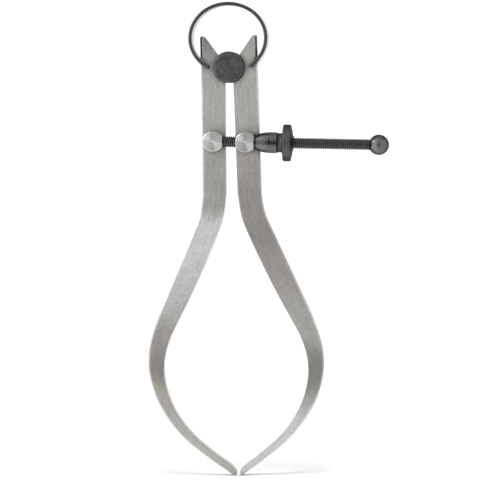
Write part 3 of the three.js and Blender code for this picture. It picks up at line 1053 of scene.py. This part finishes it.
build_sleeve()
nut_oxide = black_oxide("oxide_nut", 0.13, 0.45, grain=2.2, relief=0.012, mottle=0.16, edge=0.4,
                        rim=0.8)
piece("adjusting_nut_knurled", nut_mesh(), nut_oxide, "nut", "adjusting_nut")

# ---- floor, light and camera ----
FLOOR_HALF = 6.0  # metres, from the middle to each edge
FLOOR_GAP = 0.2  # below the tips of the legs
# light that the object reflects, in the upright plane that runs from front to back, as (degrees up
# from straight in front, strength) stops; 180 is straight behind the object
ROUND_GLOW = [(-180, 1.35), (-130, 1.3), (-70, 1.05), (-28, 0.9), (-14, 0.27), (8, 0.27),
              (26, 0.8), (55, 0.7), (80, 0.4), (115, 0.5), (150, 1.3), (180, 1.35)]
LEFT_GLOW = 1.4
RIGHT_GLOW = 0.85
FLOOR_GLOW = 0.77  # light on the floor from round about
BACKDROP = 1.12  # brightness of what the camera sees behind the object
AIM = Vector((2.49, -3.88, -63.64)) * MM
CAMERA_DISTANCE = 0.895
CAMERA_AZIMUTH = math.radians(6.0)
CAMERA_ELEVATION = math.radians(3.0)
CAMERA_ROLL = math.radians(-1.3)
FOCAL_LENGTH = 182
SENSOR_WIDTH = 36
NEAREST_SEEN = 0.01  # metres


def build_floor():
    bm = bmesh.new()
    bmesh.ops.create_grid(bm, x_segments=8, y_segments=8, size=FLOOR_HALF)
    floor = mesh_object("floor", bm)
    floor.location.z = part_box("left_leg")[0].z - FLOOR_GAP * MM
    floor.visible_glossy = False
    paper = bpy.data.materials.new("paper_floor")
    paper.use_nodes = True
    shader = paper.node_tree.nodes["Principled BSDF"]
    shader.inputs["Base Color"].default_value = (0.9, 0.9, 0.9, 1)
    shader.inputs["Roughness"].default_value = 0.9
    floor.data.materials.append(paper)


def glossy_glow(tree):
    """Strength of the surroundings that the object reflects, by direction."""
    x, y, z = split(tree, add(tree, "TexCoord").outputs["Generated"])
    turn = calc(tree, "DEGREES", calc(tree, "ARCTAN2", z, calc(tree, "MULTIPLY", y, -1.0)))
    brightest = max(glow for _, glow in ROUND_GLOW)
    stops = [(degrees, [glow / brightest] * 3) for degrees, glow in ROUND_GLOW]
    round_glow = product(tree, ramp(tree, turn, stops), brightest)
    side_glow = remap(tree, x, -0.3, 0.3, LEFT_GLOW, RIGHT_GLOW)
    off_plane = calc(tree, "ABSOLUTE", x)
    in_front = remap(tree, y, 0.0, -0.5, 0, 1, "SMOOTHSTEP")
    near_side = remap(tree, off_plane, 0.14, 0.45, 0, 1, "SMOOTHSTEP")
    far_side = remap(tree, off_plane, 0.5, 0.95, 0, 1, "SMOOTHSTEP")
    sideways = add(tree, "Mix", {0: in_front, 2: far_side, 3: near_side}).outputs[0]
    return add(tree, "Mix", {0: sideways, 2: round_glow, 3: side_glow}).outputs[0]


def build_world():
    """White behind the object, an even light on the floor, and greys for the object to reflect."""
    world = bpy.data.worlds.new("studio")
    bpy.context.scene.world = world
    world.use_nodes = True
    tree = world.node_tree
    tree.nodes.clear()
    paths = add(tree, "LightPath").outputs
    white = remap(tree, paths["Is Camera Ray"], 0, 1, FLOOR_GLOW, BACKDROP)
    even, soft = [add(tree, "Background", {"Color": (1, 1, 1, 1), "Strength": strength}).outputs[0]
                  for strength in (white, glossy_glow(tree))]
    mix = add(tree, "MixShader", {0: paths["Is Glossy Ray"], 1: even, 2: soft})
    add(tree, "OutputWorld", {"Surface": mix.outputs[0]})


def lamp(name, kind, offset, power, **settings):
    """A lamp at an offset in metres from the point that it and the camera aim at."""
    data = bpy.data.lights.new(name, kind)
    data.energy = power
    for key, value in settings.items():
        setattr(data, key, value)
    made = bpy.data.objects.new(name, data)
    made.location = AIM + Vector(offset)
    made.rotation_mode = "QUATERNION"
    made.rotation_quaternion = Vector(offset).to_track_quat("Z", "Y")
    made.visible_camera = False
    bpy.context.scene.collection.objects.link(made)
    return made


def build_camera():
    toward = Vector((
        math.sin(CAMERA_AZIMUTH) * math.cos(CAMERA_ELEVATION),
        -math.cos(CAMERA_AZIMUTH) * math.cos(CAMERA_ELEVATION),
        math.sin(CAMERA_ELEVATION),
    ))
    right = UP.cross(toward).normalized()
    upward = toward.cross(right)
    rolled_right = right * math.cos(CAMERA_ROLL) + upward * math.sin(CAMERA_ROLL)
    rolled_up = upward * math.cos(CAMERA_ROLL) - right * math.sin(CAMERA_ROLL)
    lens = bpy.data.cameras.new("camera")
    lens.lens = FOCAL_LENGTH
    lens.sensor_width = SENSOR_WIDTH
    lens.clip_start = NEAREST_SEEN
    camera = bpy.data.objects.new("camera", lens)
    camera.matrix_world = Matrix.LocRotScale(
        AIM + toward * CAMERA_DISTANCE,
        Matrix((rolled_right, rolled_up, toward)).transposed(),
        None,
    )
    bpy.context.scene.collection.objects.link(camera)
    bpy.context.scene.camera = camera


build_floor()
build_world()
lamp("key", "AREA", (-0.62, -0.25, 0.52), 0.7, shape="DISK", size=0.2)
lamp("top", "AREA", (0.0, -0.1, 0.9), 0.6, shape="DISK", size=0.9)
# the sun only makes the shadow on the floor, so the object doesn't mirror it
sun = lamp("overhead", "SUN", (0.0, -0.26, 1.0), 1.35, angle=0.4)
sun.visible_glossy = False
build_camera()
bpy.context.scene.view_settings.view_transform = "Standard"
